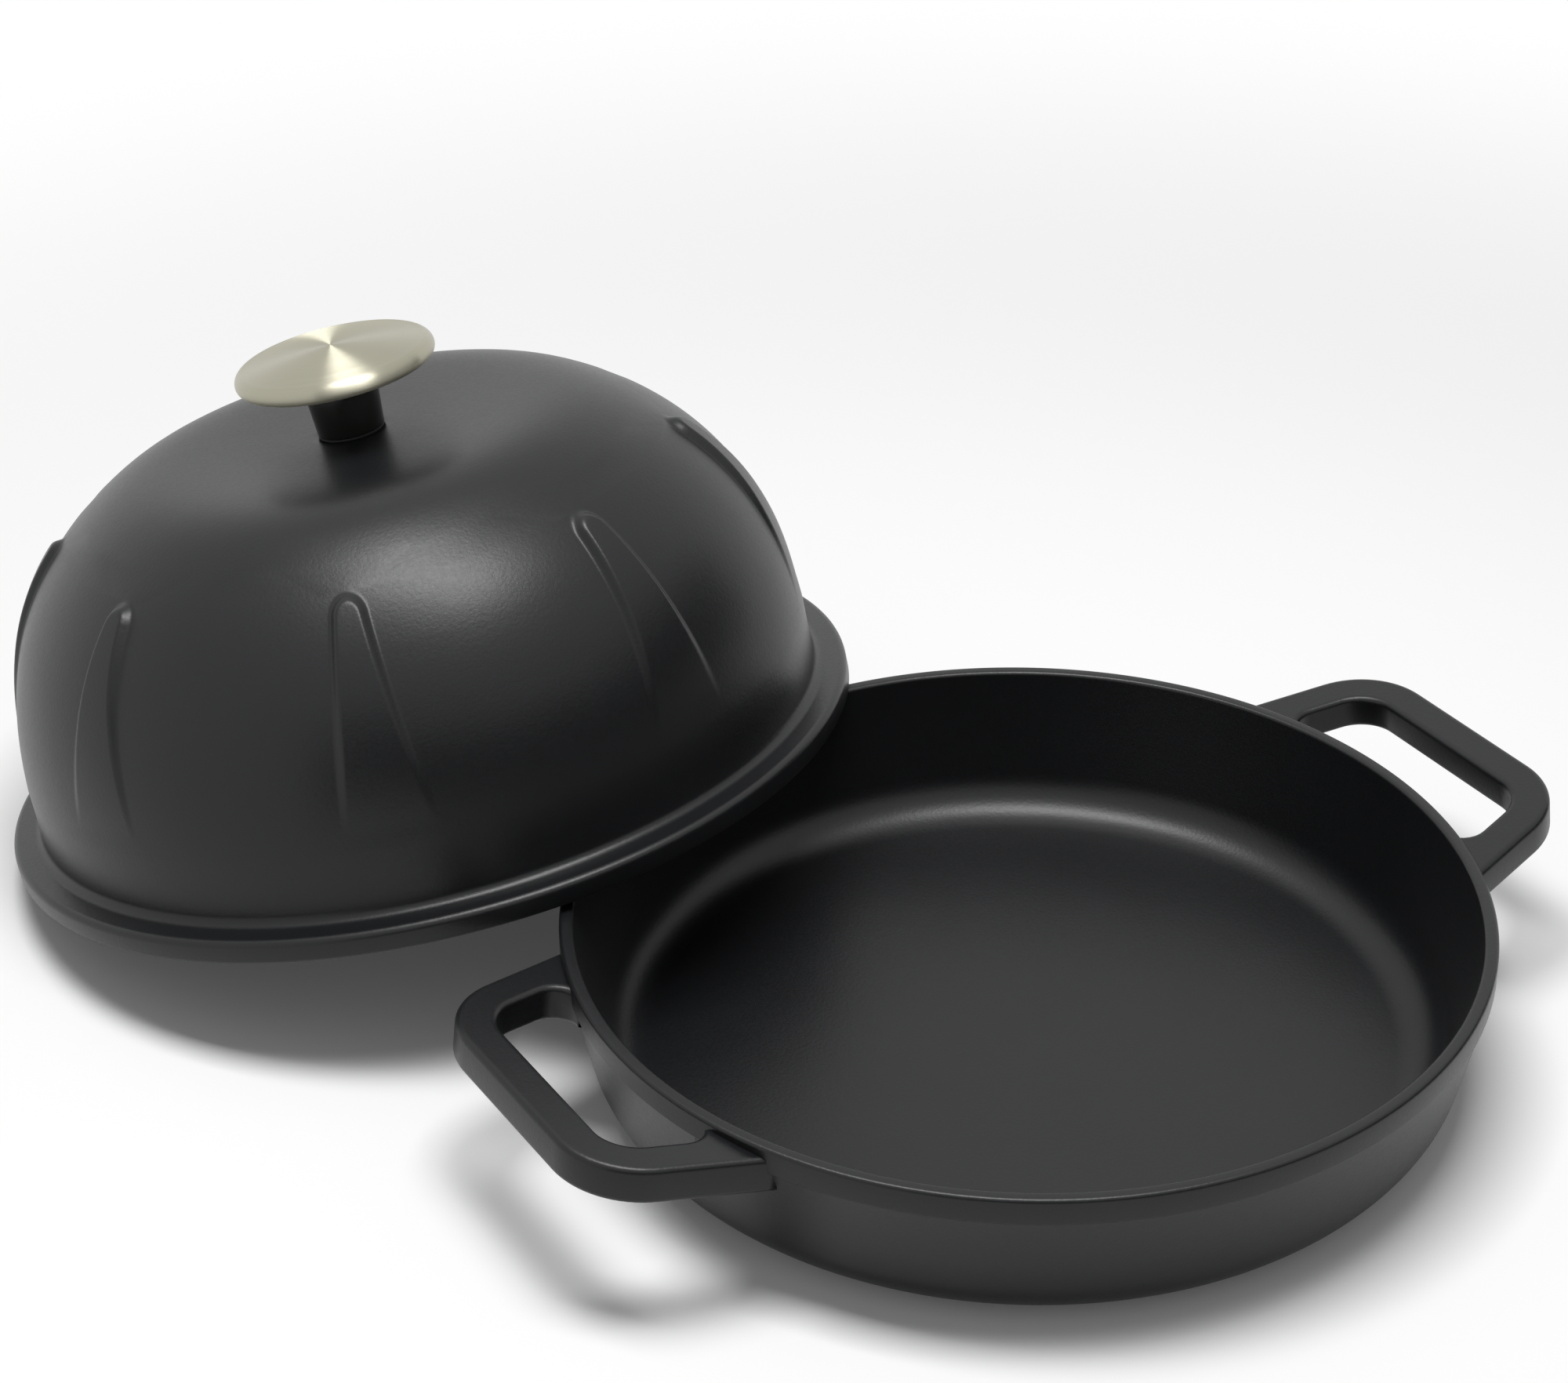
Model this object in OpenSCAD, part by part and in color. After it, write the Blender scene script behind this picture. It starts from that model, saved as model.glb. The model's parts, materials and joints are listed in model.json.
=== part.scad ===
// Cast-iron baking cloche: a low round pan with two loop handles and a tall domed lid.
// The lid stands beside the pan, leaning on its rim with the far edge on the table.
// Millimetres, +Z up. The origin is the centre of the pan's flat base.
// The handles lie along X. The lid has a frame of its own, with its mouth on z = 0.

/* [Pan] */
// Diameter over the rim
rim_d = 270; // [240:1:300]
// Height from the table to the top of the rim
pan_h = 50.3; // [44:0.1:62]
// Height of the band under the rim
band_h = 8.1; // [5:0.1:11]
// How far the band stands out from the wall
band_step = 0.8; // [0.4:0.1:2]
// Angle by which the wall leans outwards
wall_flare = 11.7; // [6:0.1:16]
// Radius between the base and the wall, outside
base_corner_r = 19.3; // [14:0.1:24]
// Thickness of the wall
pan_wall = 4.2; // [3.4:0.1:5]
// Thickness of the floor
pan_floor = 4.8; // [3.5:0.1:7]
// Radius between the floor and the wall, inside
inner_corner_r = 15; // [10:0.5:18]
// Rounding of the rim's outer edge
rim_round = 1.2; // [0.6:0.1:1.8]

/* [Handles] */
// Distance from the pan's centre to the outer face of a handle
handle_reach = 169.1; // [160:0.1:180]
// Width of the outer bar, before its corners are rounded
handle_end_w = 89.8; // [78:0.2:98]
// Width of a handle where it leaves the pan
handle_root_w = 113.8; // [102:0.2:124]
// Thickness of a handle
handle_t = 11; // [8:0.1:13]
// Width of the outer bar from its outer face to the finger hole
handle_bar = 11.9; // [9:0.1:14]
// Radius of the outer corners
handle_corner_r = 25; // [16:0.1:28]
// Width of the finger hole at the outer bar
grip_end_w = 71.2; // [60:0.2:76]
// Width of the finger hole at the pan
grip_root_w = 89; // [80:0.2:94]
// Radius of the finger hole's outer corners
grip_corner_r = 12.4; // [6:0.1:15]
// Radius of the finger hole's two corners at the pan's wall
grip_root_r = 7; // [3:0.1:9]
// How far the top of a handle lies under the rim, at the rim
handle_drop = 1.5; // [1:0.1:6]
// Angle by which a handle rises outwards
handle_rise = 7.9; // [2:0.1:10]
// Chamfer round a handle's edges
handle_chamfer = 1.4; // [0.8:0.1:2.5]

/* [Lid ring] */
// How far the flange ring stands out past the pan's rim when the lid is on the pan
ring_over = 1; // [0:0.1:4]
// Width of the flange ring, from the dome's wall to its outer edge
ring_w = 11.5; // [9:0.1:16]
// Height of the flange ring
ring_h = 7; // [5:0.1:9]
// Rounding of the ring's upper edge
ring_round = 2.2; // [1:0.1:3]
// Radius between the ring and the dome
ring_fillet = 3; // [2:0.1:6]

/* [Dome] */
// Height at which the dome is widest
dome_waist = 26.4; // [18:0.1:34]
// Rise of the shoulder curve above the waist
dome_rise = 97.2; // [90:0.1:104]
// How square the shoulder curve is, where 2 is an ellipse
dome_power = 2.29; // [2.1:0.01:2.6]
// How far the wall spreads past the shoulder curve, from the waist down
foot_spread = 1.6; // [0.5:0.1:2.5]
// Height below which the wall starts to spread
spread_top = 64; // [56:1:70]
// Angle along the shoulder curve at which the flatter crown starts
crown_start = 48; // [46:0.5:52]
// Height of the flat seat on top of the crown
crown_h = 111.5; // [109:0.1:116]
// Diameter of the flat seat under the knob
crown_seat_d = 26; // [24:0.5:40]
// Thickness of the dome's wall
dome_wall = 4.5; // [3.5:0.1:6]

/* [Raised flutes] */
// Number of flutes round the dome
flutes = 8; // [4:1:12]
// Height of a flute's top above the mouth
flute_top = 94; // [84:0.5:98]
// Height at which a flute has faded into the dome
flute_foot = 33; // [30:0.5:44]
// Radius of a flute's rounded top
flute_top_r = 5.2; // [4:0.1:8]
// Width of a flute at its foot
flute_foot_w = 27; // [20:0.5:36]
// How far a flute stands out near its top
flute_proud = 2.4; // [1:0.1:3.5]
// Turn of the flutes, from the side on which the lid leans over
flute_turn = 37.6; // [0:0.1:45]

/* [Knob] */
// Diameter of the knob's disc
knob_d = 62.8; // [52:0.2:70]
// Height of the disc from its flat underside to its crown
knob_h = 8.7; // [8:0.1:13]
// Height of the disc's widest line above its underside
knob_edge_h = 2.5; // [1.8:0.1:3.5]
// Rounding of the disc's upper edge
knob_edge_r = 3.4; // [2:0.1:4]
// Height of the stem
stem_h = 18.8; // [12:0.1:22]
// Diameter of the stem under the disc
stem_top_d = 23.6; // [20:0.2:30]
// Diameter of the stem on the dome
stem_foot_d = 21; // [16:0.2:24]
// Thickness of the gasket under the stem
gasket_t = 0.8; // [0.5:0.1:2]
// Diameter of the gasket
gasket_d = 20.8; // [18:0.2:24]

/* [Fastening] */
// Diameter of the screw
screw_d = 6; // [4:0.5:8]
// Depth of the threaded hole in the disc
thread_depth = 6.2; // [4:0.1:7]
// Free length between the screw's tip and the end of its hole
thread_spare = 0.8; // [0.3:0.1:1.5]
// Radial play of the screw in its thread
thread_play = 0.05; // [0.02:0.01:0.1]
// Radial play of the screw in the lid, the stem and the washers
hole_play = 0.3; // [0.2:0.05:0.6]
// Diameter of the screw's head
head_d = 12; // [10:0.2:14]
// Height of the screw's head
head_h = 3.8; // [3:0.1:5]
// Width of the driver slots
slot_w = 1.4; // [0.8:0.1:2]
// Length of the driver slots
slot_l = 7.6; // [5:0.1:8.4]
// Depth of the driver slots
slot_depth = 2.2; // [1:0.1:2.6]
// Diameter of the flat washer
washer_d = 18; // [15:0.2:22]
// Thickness of the flat washer
washer_t = 1.6; // [1:0.1:2.5]
// Diameter of the lock washer
lock_d = 11.8; // [10:0.2:14]
// Thickness of the lock washer
lock_t = 1.5; // [1:0.1:2]
// Width of the lock washer's split
lock_split = 0.9; // [0.5:0.1:1.5]

/* [Lid at rest] */
// Angle, seen from the lid's centre, between the pan and each of the two places where the lid rests on its rim
rest_angle = 30.5; // [20:0.1:50]
// Direction in which the lid stands from the pan, from +Y towards -X
stand_turn = 24.4; // [0:0.1:28]
// Gap between the lid and the pan's rim where they meet
rest_gap = 0.3; // [0.2:0.05:0.6]

/* [Hidden] */
$fn = 180;
eps = 0.01;
// Segments in a small arc and in a long curve
arc_steps = 8;
curve_steps = 16;

// Pan
rim_r = rim_d / 2;
wall_top_r = rim_r - band_step;
band_z = pan_h - band_h;
// The wall's outer line touches the base corner's circle at this point
tangent_z = base_corner_r * (1 - sin(wall_flare));
tangent_r = wall_top_r - (band_z - tangent_z) * tan(wall_flare);
base_r = tangent_r - base_corner_r * cos(wall_flare);
rim_inner_r = wall_top_r - pan_wall / cos(wall_flare) + band_h * tan(wall_flare) / 2;
floor_z = pan_floor;
inner_tangent_z = floor_z + inner_corner_r * (1 - sin(wall_flare));
inner_tangent_r = rim_inner_r - (pan_h - inner_tangent_z) * tan(wall_flare);
inner_base_r = inner_tangent_r - inner_corner_r * cos(wall_flare);

// Handles. Their outlines start this far inside the rim, in the thickness of the wall and behind it
handle_sink = 14;
root_x = rim_r - handle_sink;
grip_x = handle_reach - handle_bar;
// The finger hole's root corners end on a circle that lies inside the wall
grip_ring_r = wall_top_r - handle_t * tan(wall_flare) / 2;
handle_top_z = pan_h - handle_drop;

// Dome. Its ring lines up with the pan's rim, and its wall stands inside the ring
ring_d = rim_d + 2 * ring_over;
dome_d = ring_d - 2 * ring_w;
dome_r = dome_d / 2;
ring_r = ring_d / 2;
mouth_r = dome_r - dome_wall;
seat_r = crown_seat_d / 2;
// Width of the flat seat round the flat washer
seat_margin = 2;
inner_seat_r = max(washer_d / 2 + seat_margin, seat_r - seat_margin);
crown_under = crown_h - dome_wall;
// Lengths by which the crown's curve follows the shoulder and the seat
shoulder_pull = 26;
seat_pull = 48;

// Knob stack, in the lid's frame
gasket_z = crown_h;
stem_z = gasket_z + gasket_t;
cap_z = stem_z + stem_h;
hole_r = screw_d / 2 + hole_play;
thread_r = screw_d / 2 + thread_play;
washer_z = crown_under - washer_t;
lock_z = washer_z - lock_t;
screw_tip_z = cap_z + thread_depth - thread_spare;

// Where the leaning lid stands. Its low edge is on the table, and its mouth crosses the pan's rim
// at two points, so its angle follows from the pan's height and its distance from the two circles.
rim_edge_r = rim_r - rim_round;
cross_along = mouth_r * cos(rest_angle);
cross_side = mouth_r * sin(rest_angle);
lean = asin((pan_h + rest_gap) / (ring_r + cross_along));
lean_turn = 90 + stand_turn;
lid_z = ring_r * sin(lean);
lid_far = sqrt(pow(rim_edge_r, 2) - pow(cross_side, 2)) + cross_along * cos(lean);

function arc(cx, cy, r, from, to, n = arc_steps) =
    [for (i = [0:n]) let (a = from + (to - from) * i / n) [cx + r * cos(a), cy + r * sin(a)]];

// How far the wall spreads at height z
function spread_at(z) = foot_spread * pow(max(0, (spread_top - z) / (spread_top - dome_waist)), 1.5);

// A point of the shoulder curve at angle t, from 0 at the waist to 90 over the axis
function shoulder(r, rise, t) =
    let (z = dome_waist + rise * pow(sin(t), 2 / dome_power))
    [r * pow(cos(t), 2 / dome_power) + spread_at(z), z];

// The direction of the shoulder curve at angle t, as a unit vector
function shoulder_dir(r, rise, t) =
    let (v = [-r * pow(cos(t), 2 / dome_power - 1) * sin(t), rise * pow(sin(t), 2 / dome_power - 1) * cos(t)])
    v / norm(v);

function bezier(a, b, c, d, s) =
    pow(1 - s, 3) * a + 3 * s * pow(1 - s, 2) * b + 3 * s * s * (1 - s) * c + pow(s, 3) * d;

// The dome's profile from the waist to its seat, for the outside or the inside
function dome_curve(r, rise, top, seat) =
    let (knee = shoulder(r, rise, crown_start),
         dir = shoulder_dir(r, rise, crown_start))
    concat(
        [for (i = [0:curve_steps]) shoulder(r, rise, crown_start * i / curve_steps)],
        [for (i = [1:curve_steps])
            bezier(knee, knee + shoulder_pull * dir, [seat + seat_pull, top], [seat, top], i / curve_steps)]);

// The angle on the shoulder curve at which the dome has a given height
function shoulder_angle(z) = asin(pow((z - dome_waist) / dome_rise, dome_power / 2));

// A flute's outer face: it stands fully out at its top and fades out towards its foot
function flute_face(t, from, to) =
    let (d = shoulder_dir(dome_r, dome_rise, t),
         k = (t - from) / (to - from))
    shoulder(dome_r, dome_rise, t) + flute_proud * sin(90 * min(1, k)) * [d[1], -d[0]];

// Places its children, given in the lid's frame, where the lid leans on the pan
module at_lid_rest() {
    rotate([0, 0, lean_turn])
        translate([lid_far, 0, lid_z])
            rotate([0, lean, 0])
                children();
}

module pan_outside() {
    rotate_extrude()
        polygon(concat(
            [[0, 0]],
            arc(base_r, base_corner_r, base_corner_r, -90, -wall_flare, curve_steps),
            [[wall_top_r, band_z], [rim_r, band_z]],
            arc(rim_edge_r, pan_h - rim_round, rim_round, 0, 90),
            [[0, pan_h]]));
}

module pan_inside() {
    rotate_extrude()
        polygon(concat(
            [[0, floor_z]],
            arc(inner_base_r, floor_z + inner_corner_r, inner_corner_r, -90, -wall_flare, curve_steps),
            [[rim_inner_r, pan_h], [rim_inner_r, pan_h + 1], [0, pan_h + 1]]));
}

// A plate outline, wide at the pan and narrower at its end, with two rounded outer corners
module tapered_outline(x0, x1, root_w, end_w, r) {
    side = atan2((root_w - end_w) / 2, x1 - x0);
    cx = x1 - r;
    cy = end_w / 2 - r * tan((90 - side) / 2);
    polygon(concat(
        [[x0, -root_w / 2]],
        arc(cx, -cy, r, side - 90, 0),
        arc(cx, cy, r, 0, 90 - side),
        [[x0, root_w / 2]]));
}

module handle_outline(inset) {
    tapered_outline(root_x, handle_reach - inset, handle_root_w - 2 * inset, handle_end_w - 2 * inset,
                    handle_corner_r - inset);
}

// What a fillet leaves standing between the finger hole's side and the pan's wall
module root_fillet() {
    side = atan2((grip_root_w - grip_end_w) / 2, grip_x - root_x);
    along = [cos(side), -sin(side)];
    start = [root_x, grip_root_w / 2];
    shifted = start - grip_root_r * [sin(side), cos(side)];
    back = shifted * along;
    run = sqrt(back * back - shifted * shifted + pow(grip_ring_r + grip_root_r, 2)) - back;
    centre = shifted + run * along;
    difference() {
        polygon([centre, start + run * along, start, centre * grip_ring_r / (grip_ring_r + grip_root_r)]);
        translate(centre)
            circle(grip_root_r);
    }
}

module grip_outline() {
    difference() {
        tapered_outline(root_x - eps, grip_x, grip_root_w, grip_end_w, grip_corner_r);
        for (s = [0, 1])
            mirror([0, s, 0])
                root_fillet();
    }
}

// One loop handle along +X: a chamfered plate with a finger hole that is open to the pan's wall
module loop_handle() {
    translate([rim_r, 0, handle_top_z])
        rotate([0, -handle_rise, 0])
            translate([-rim_r, 0, -handle_t])
                difference() {
                    hull() {
                        translate([0, 0, handle_chamfer])
                            linear_extrude(handle_t - 2 * handle_chamfer)
                                handle_outline(0);
                        linear_extrude(handle_t)
                            handle_outline(handle_chamfer);
                    }
                    translate([0, 0, -1])
                        linear_extrude(handle_t + 2)
                            grip_outline();
                }
}

module base_pan() {
    color("#26272a")
        difference() {
            union() {
                pan_outside();
                for (a = [0, 180])
                    rotate([0, 0, a])
                        loop_handle();
            }
            pan_inside();
        }
}

module dome_shell() {
    rotate_extrude()
        polygon(concat(
            [[mouth_r, 0], [ring_r, 0]],
            arc(ring_r - ring_round, ring_h - ring_round, ring_round, 0, 90),
            arc(dome_r + foot_spread + ring_fillet, ring_h + ring_fillet, ring_fillet, 270, 180),
            dome_curve(dome_r, dome_rise, crown_h, seat_r),
            [[hole_r, crown_h], [hole_r, crown_under]],
            [for (p = [2 * curve_steps:-1:0])
                dome_curve(mouth_r, dome_rise - dome_wall, crown_under, inner_seat_r)[p]]));
}

// One flute along +X: the part of a slightly larger dome that lies inside the flute's outline
module flute() {
    from = shoulder_angle(flute_foot);
    to = shoulder_angle(flute_top);
    centre_z = flute_top - flute_top_r;
    // The sides touch the top circle, and run down to the foot's full width
    drop = centre_z - flute_foot;
    lean_in = atan2(flute_foot_w / 2, drop) - asin(flute_top_r / norm([flute_foot_w / 2, drop]));
    intersection() {
        rotate([0, 0, -45])
            rotate_extrude(angle = 90)
                polygon(concat(
                    [for (i = [0:curve_steps]) flute_face(from + (to + 4 - from) * i / curve_steps, from, to)],
                    [for (i = [curve_steps:-1:0])
                        shoulder(dome_r - 1, dome_rise - 1, from + (to + 4 - from) * i / curve_steps)]));
        translate([dome_r / 2, 0, 0])
            rotate([90, 0, 90])
                linear_extrude(dome_r)
                    polygon(concat(
                        [[-flute_foot_w / 2, flute_foot], [flute_foot_w / 2, flute_foot]],
                        arc(0, centre_z, flute_top_r, -lean_in, 180 + lean_in, 2 * arc_steps)));
    }
}

module dome_lid() {
    color("#2b2c2f")
        at_lid_rest()
            union() {
                dome_shell();
                for (i = [0:flutes - 1])
                    rotate([0, 0, flute_turn + i * 360 / flutes])
                        flute();
            }
}

module knob_cap() {
    knob_r = knob_d / 2;
    shoulder_r = knob_r - knob_edge_r;
    shoulder_z = knob_edge_h + knob_edge_r;
    // The crown is one large arc through the shoulder and the top
    rise = knob_h - shoulder_z;
    crown_r = (pow(shoulder_r, 2) + pow(rise, 2)) / (2 * rise);
    color("#c9c1b2")
        at_lid_rest()
            translate([0, 0, cap_z])
                rotate_extrude()
                    polygon(concat(
                        [[thread_r, 0]],
                        arc(knob_r - knob_edge_h, knob_edge_h, knob_edge_h, -90, 0),
                        arc(shoulder_r, knob_edge_h, knob_edge_r, 0, 90),
                        [for (i = [1:curve_steps])
                            let (x = shoulder_r * (1 - i / curve_steps))
                            [x, knob_h - crown_r + sqrt(pow(crown_r, 2) - x * x)]],
                        [[0, thread_depth], [thread_r, thread_depth]]));
}

module knob_stem() {
    color("#1a1a1c")
        at_lid_rest()
            translate([0, 0, stem_z])
                difference() {
                    cylinder(h = stem_h, d1 = stem_foot_d, d2 = stem_top_d);
                    translate([0, 0, -1])
                        cylinder(h = stem_h + 2, r = hole_r);
                }
}

module knob_gasket() {
    color("#3a3a3a")
        at_lid_rest()
            translate([0, 0, gasket_z])
                difference() {
                    cylinder(h = gasket_t, d = gasket_d);
                    translate([0, 0, -1])
                        cylinder(h = gasket_t + 2, r = hole_r);
                }
}

module knob_screw() {
    color("#a9abad")
        at_lid_rest()
            difference() {
                union() {
                    translate([0, 0, lock_z])
                        cylinder(h = screw_tip_z - lock_z, d = screw_d);
                    translate([0, 0, lock_z - head_h])
                        cylinder(h = head_h, d = head_d);
                }
                for (a = [0, 90])
                    rotate([0, 0, a])
                        translate([-slot_l / 2, -slot_w / 2, lock_z - head_h - 1])
                            cube([slot_l, slot_w, slot_depth + 1]);
            }
}

module flat_washer() {
    color("#b4b6b8")
        at_lid_rest()
            translate([0, 0, washer_z])
                difference() {
                    cylinder(h = washer_t, d = washer_d);
                    translate([0, 0, -1])
                        cylinder(h = washer_t + 2, r = hole_r);
                }
}

module lock_washer() {
    color("#8f9193")
        at_lid_rest()
            translate([0, 0, lock_z])
                difference() {
                    cylinder(h = lock_t, d = lock_d);
                    translate([0, 0, -1])
                        cylinder(h = lock_t + 2, r = hole_r);
                    translate([0, -lock_split / 2, -1])
                        cube([lock_d, lock_split, lock_t + 2]);
                }
}

base_pan();
dome_lid();
knob_cap();
knob_stem();
knob_gasket();
knob_screw();
flat_washer();
lock_washer();
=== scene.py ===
"""Shows the cast-iron cloche: a low pan with two loop handles, and a domed lid that leans on its rim.

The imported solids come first, as a fixed frame. The visible castings and the knob are then modelled
finer, in the same places and to the same sizes, and every piece gets its finish. Sizes are in
millimetres where a class holds them, and meshes are in metres.
"""

from __future__ import annotations

import json
import logging
import math
from dataclasses import dataclass
from enum import Enum

import bmesh
import bpy
from mathutils import Matrix, Vector

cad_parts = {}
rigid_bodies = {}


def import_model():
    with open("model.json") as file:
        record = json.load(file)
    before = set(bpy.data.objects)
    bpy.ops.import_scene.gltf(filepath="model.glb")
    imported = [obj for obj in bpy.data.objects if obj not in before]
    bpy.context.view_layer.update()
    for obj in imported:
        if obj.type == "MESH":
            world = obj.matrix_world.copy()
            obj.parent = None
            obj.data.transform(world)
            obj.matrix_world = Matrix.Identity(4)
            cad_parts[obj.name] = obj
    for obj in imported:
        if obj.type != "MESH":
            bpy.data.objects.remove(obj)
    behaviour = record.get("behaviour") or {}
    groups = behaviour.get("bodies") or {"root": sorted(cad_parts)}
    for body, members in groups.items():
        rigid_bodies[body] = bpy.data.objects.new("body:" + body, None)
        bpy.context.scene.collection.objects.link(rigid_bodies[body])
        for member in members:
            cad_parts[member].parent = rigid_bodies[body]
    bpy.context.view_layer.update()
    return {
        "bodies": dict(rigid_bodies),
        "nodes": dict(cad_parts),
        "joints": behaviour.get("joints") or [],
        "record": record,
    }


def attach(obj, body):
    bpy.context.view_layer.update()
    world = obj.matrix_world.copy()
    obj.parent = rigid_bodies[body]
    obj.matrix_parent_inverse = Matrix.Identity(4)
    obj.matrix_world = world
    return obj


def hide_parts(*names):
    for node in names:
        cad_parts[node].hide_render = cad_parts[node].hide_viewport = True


LOG = logging.getLogger("cloche")
MM = 0.001

# Points of a profile that lie closer than this, in millimetres, are one point
WELD_MM = 0.002
# A step along a curve, in degrees, small enough to give its direction
NUDGE = 0.01
# A face is level, or quite flat, when its normal's height is over these
LEVEL = 0.9
FLAT = 0.999
# Most of a noise lies between these two values
NOISE_LOW = 0.3
NOISE_HIGH = 0.7
# The colour sockets of a Mix node
MIX_FIRST = 6
MIX_SECOND = 7
MIX_RESULT = 2

# A distance from the axis with a height, or a place in a plan
Point = tuple[float, float]


class Body(Enum):
    """The two bodies that move apart."""

    PAN = "pan"
    LID = "lid"


class Slot(Enum):
    """The material slots of the part's record."""

    PAN_IRON = "pan_iron"
    LID_IRON = "lid_iron"
    KNOB_STEEL = "knob_steel"
    STEM_BLACK = "stem_black"
    GASKET_FIBRE = "gasket_fibre"


def linear(colour: str) -> tuple[float, float, float, float]:
    """Turns an sRGB hex colour into linear values.

    Args:
        colour: The colour as "#rrggbb".

    Returns:
        Red, green, blue and an alpha of 1.
    """
    parts = [int(colour[i : i + 2], 16) / 255 for i in (1, 3, 5)]
    # The numbers are those of the sRGB curve
    red, green, blue = (c / 12.92 if c <= 0.04045 else ((c + 0.055) / 1.055) ** 2.4 for c in parts)
    return red, green, blue, 1.0


def add_node(
    tree: bpy.types.NodeTree,
    kind: str,
    settings: dict | None = None,
    **links: bpy.types.NodeSocket,
) -> bpy.types.Node:
    """Adds a node with its settings and links.

    Args:
        tree: The node tree.
        kind: The node's type name.
        settings: Attributes by name, and socket values by socket name or number.
        **links: A source socket by input name, with "_" for a space, or by number as "in0".

    Returns:
        The new node.
    """
    node = tree.nodes.new(kind)
    for key, value in (settings or {}).items():
        if isinstance(key, str) and hasattr(node, key):
            setattr(node, key, value)
        else:
            node.inputs[key].default_value = value
    for key, source in links.items():
        number = key.removeprefix("in")
        target = node.inputs[int(number) if number.isdigit() else key.replace("_", " ")]
        tree.links.new(source, target)
    return node


def new_material(name: str) -> tuple[bpy.types.Material, bpy.types.NodeTree, bpy.types.Node]:
    """Makes an empty node material.

    Args:
        name: The finish's name.

    Returns:
        The material, its tree and its output node.
    """
    material = bpy.data.materials.new(name)
    material.use_nodes = True
    tree = material.node_tree
    tree.nodes.clear()
    return material, tree, tree.nodes.new("ShaderNodeOutputMaterial")


def mottle(
    tree: bpy.types.NodeTree,
    noises: tuple[bpy.types.Node, bpy.types.Node],
    colours: tuple[str, str],
    roughnesses: tuple[float, float],
) -> dict[str, bpy.types.NodeSocket]:
    """Lets a surface's colour and roughness vary from place to place.

    Args:
        tree: The node tree.
        noises: The noise that the colour follows, and the one that the roughness follows.
        colours: The colours where the first noise is low and where it is high.
        roughnesses: The roughnesses where the second noise is low and where it is high.

    Returns:
        The shader's links for its colour and its roughness.
    """
    colour = add_node(
        tree,
        "ShaderNodeMix",
        {"data_type": "RGBA", MIX_FIRST: linear(colours[0]), MIX_SECOND: linear(colours[1])},
        in0=noises[0].outputs["Fac"],
    )
    roughness = add_node(
        tree,
        "ShaderNodeMapRange",
        {
            "From Min": NOISE_LOW,
            "From Max": NOISE_HIGH,
            "To Min": roughnesses[0],
            "To Max": roughnesses[1],
        },
        Value=noises[1].outputs["Fac"],
    )
    return {"Base_Color": colour.outputs[MIX_RESULT], "Roughness": roughness.outputs[0]}


@dataclass(frozen=True)
class CastIronFinish:
    """Cast iron under a thin matt black enamel, moulded in sand.

    The sand leaves a fine pebbled skin, which breaks the highlights into grain, and the enamel's
    colour and gloss vary a little from place to place.
    """

    name: str
    colour: str = "#0e0f10"
    patch_colour: str = "#141517"
    roughness_low: float = 0.33
    roughness_high: float = 0.38
    specular: float = 0.35
    grain_mm: float = 1.15
    grain_depth_mm: float = 0.05
    wave_mm: float = 26.0
    wave_depth_mm: float = 0.12

    def build(self) -> bpy.types.Material:
        """Makes the enamel.

        Returns:
            The material.
        """
        material, tree, output = new_material(self.name)
        place = add_node(tree, "ShaderNodeTexCoord").outputs["Object"]
        # Sand grain, and the slow unevenness of a casting
        grain = add_node(
            tree,
            "ShaderNodeTexNoise",
            {"Scale": 1 / (self.grain_mm * MM), "Detail": 3.0, "Roughness": 0.6},
            Vector=place,
        )
        wave = add_node(
            tree,
            "ShaderNodeTexNoise",
            {"Scale": 1 / (self.wave_mm * MM), "Detail": 2.0, "Roughness": 0.5},
            Vector=place,
        )
        slow = add_node(
            tree,
            "ShaderNodeBump",
            {"Strength": 1.0, "Distance": self.wave_depth_mm * MM},
            Height=wave.outputs["Fac"],
        )
        fine = add_node(
            tree,
            "ShaderNodeBump",
            {"Strength": 1.0, "Distance": self.grain_depth_mm * MM},
            Height=grain.outputs["Fac"],
            Normal=slow.outputs["Normal"],
        )
        colours = (self.colour, self.patch_colour)
        roughnesses = (self.roughness_low, self.roughness_high)
        shader = add_node(
            tree,
            "ShaderNodeBsdfPrincipled",
            {"Specular IOR Level": self.specular},
            Normal=fine.outputs["Normal"],
            **mottle(tree, (wave, grain), colours, roughnesses),
        )
        tree.links.new(shader.outputs[0], output.inputs["Surface"])
        return material


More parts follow.
